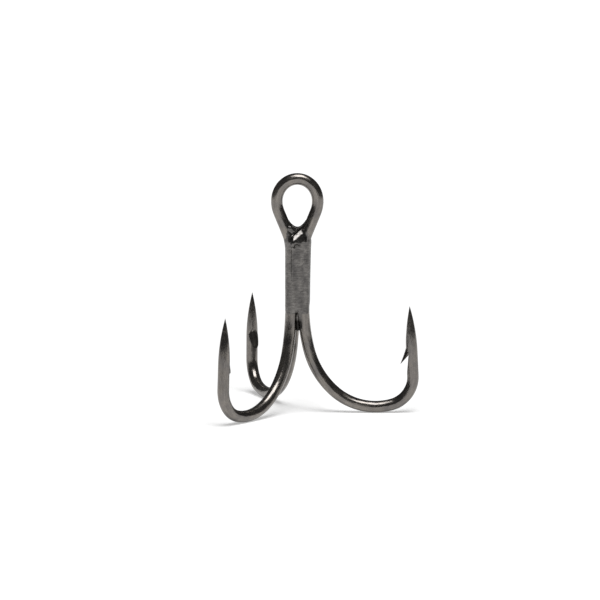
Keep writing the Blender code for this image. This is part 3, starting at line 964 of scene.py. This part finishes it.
def third_hook_wire():
    x, y = HOOKS["third"].centre
    top = FLOOR_Z + THIRD_WIRE_TOP
    shank = straight_path(x, y, BEND_TOPS["third"], top - THIRD_END_ROUND)
    for turn in range(15, 91, 15):
        rise, drop = math.sin(math.radians(turn)), 1 - math.cos(math.radians(turn))
        row = plain_row(Vector((x, y, top - THIRD_END_ROUND * (1 - rise))), Vector((0, 0, 1)))
        shank.append(row._replace(radius=WIRE_RADIUS - THIRD_END_ROUND * drop))
    rows = backwards(shank) + hook_path("third")
    wire = wire_mesh("third_hook_wire", rows)
    outside(wire)
    raise_barb(wire, "third")
    smooth(wire)
    return wire


def plain_floor():
    """White paper that glows a little more with distance, so that it ends in the white room."""
    mesh = bpy.data.meshes.new("floor")
    body = bmesh.new()
    bmesh.ops.create_circle(body, cap_ends=True, segments=96, radius=FLOOR_RADIUS)
    body.to_mesh(mesh)
    body.free()
    floor = bpy.data.objects.new("floor", mesh)
    floor.location.z = FLOOR_Z
    bpy.context.scene.collection.objects.link(floor)
    material = bpy.data.materials.new("white_paper")
    material.use_nodes = True
    nodes, links = material.node_tree.nodes, material.node_tree.links
    shader = nodes["Principled BSDF"]
    shader.inputs["Base Color"].default_value = FLOOR_COLOUR
    shader.inputs["Roughness"].default_value = FLOOR_ROUGHNESS
    shader.inputs["Emission Color"].default_value = WHITE
    place = nodes.new("ShaderNodeNewGeometry")
    length = nodes.new("ShaderNodeVectorMath")
    length.operation = "LENGTH"
    glow = nodes.new("ShaderNodeMapRange")
    glow.inputs["From Min"].default_value = FLOOR_GLOW_RANGE[0]
    glow.inputs["From Max"].default_value = FLOOR_GLOW_RANGE[1]
    glow.inputs["To Min"].default_value = FLOOR_GLOW[0]
    glow.inputs["To Max"].default_value = FLOOR_GLOW[1]
    links.new(place.outputs["Position"], length.inputs[0])
    links.new(length.outputs["Value"], glow.inputs["Value"])
    links.new(glow.outputs["Result"], shader.inputs["Emission Strength"])
    mesh.materials.append(material)


def studio():
    """A dim room that looks white behind the object, and one large soft light."""
    world = bpy.data.worlds.new("studio")
    bpy.context.scene.world = world
    world.use_nodes = True
    nodes, links = world.node_tree.nodes, world.node_tree.links
    backdrop = nodes["Background"]
    backdrop.inputs["Color"].default_value = WHITE
    rays = nodes.new("ShaderNodeLightPath")
    room = nodes.new("ShaderNodeMapRange")
    room.inputs["To Min"].default_value = ROOM_GLOW[0]
    room.inputs["To Max"].default_value = ROOM_GLOW[1]
    links.new(rays.outputs["Is Camera Ray"], room.inputs["Value"])
    links.new(room.outputs["Result"], backdrop.inputs["Strength"])
    light = bpy.data.lights.new("softbox", "AREA")
    light.shape = "RECTANGLE"
    light.size, light.size_y = SOFTBOX_SIZE
    light.energy = SOFTBOX_POWER
    lamp = bpy.data.objects.new("softbox", light)
    lamp.location = SOFTBOX_PLACE
    lamp.rotation_euler = lamp.location.to_track_quat("Z", "Y").to_euler()
    bpy.context.scene.collection.objects.link(lamp)


def camera():
    data = bpy.data.cameras.new("camera")
    data.sensor_width = SENSOR_WIDTH
    data.lens = SENSOR_WIDTH * VIEW_DISTANCE / VIEW_WIDTH
    data.clip_start, data.clip_end = VIEW_RANGE
    eye = bpy.data.objects.new("camera", data)
    back = Vector((math.sin(VIEW_AZIMUTH) * math.cos(VIEW_ELEVATION),
                   -math.cos(VIEW_AZIMUTH) * math.cos(VIEW_ELEVATION),
                   math.sin(VIEW_ELEVATION)))
    eye.location = Vector(VIEW_TARGET) + back * VIEW_DISTANCE
    eye.rotation_euler = back.to_track_quat("Z", "Y").to_euler()
    bpy.context.scene.collection.objects.link(eye)
    bpy.context.scene.camera = eye


def main():
    camera()
    studio()
    plain_floor()
    bpy.context.scene.view_settings.view_transform = "Standard"
    wire = plated_wire_material()
    for piece, node in ((double_hook_wire(), "eyed_double_hook"), (third_hook_wire(), "third_hook")):
        piece.data.materials.clear()
        piece.data.materials.append(wire)
        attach(piece, "root")
        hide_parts(node)
    braze = braze_metal()
    rough = plated_braze_material()
    braze.data.materials.append(rough)
    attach(braze, "root")
    for node in ("braze_front_fillet", "braze_right_fillet", "braze_left_fillet", "braze_throat_bead"):
        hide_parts(node)
    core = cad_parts["braze_core"]
    core.data.materials.clear()
    core.data.materials.append(rough)


main()
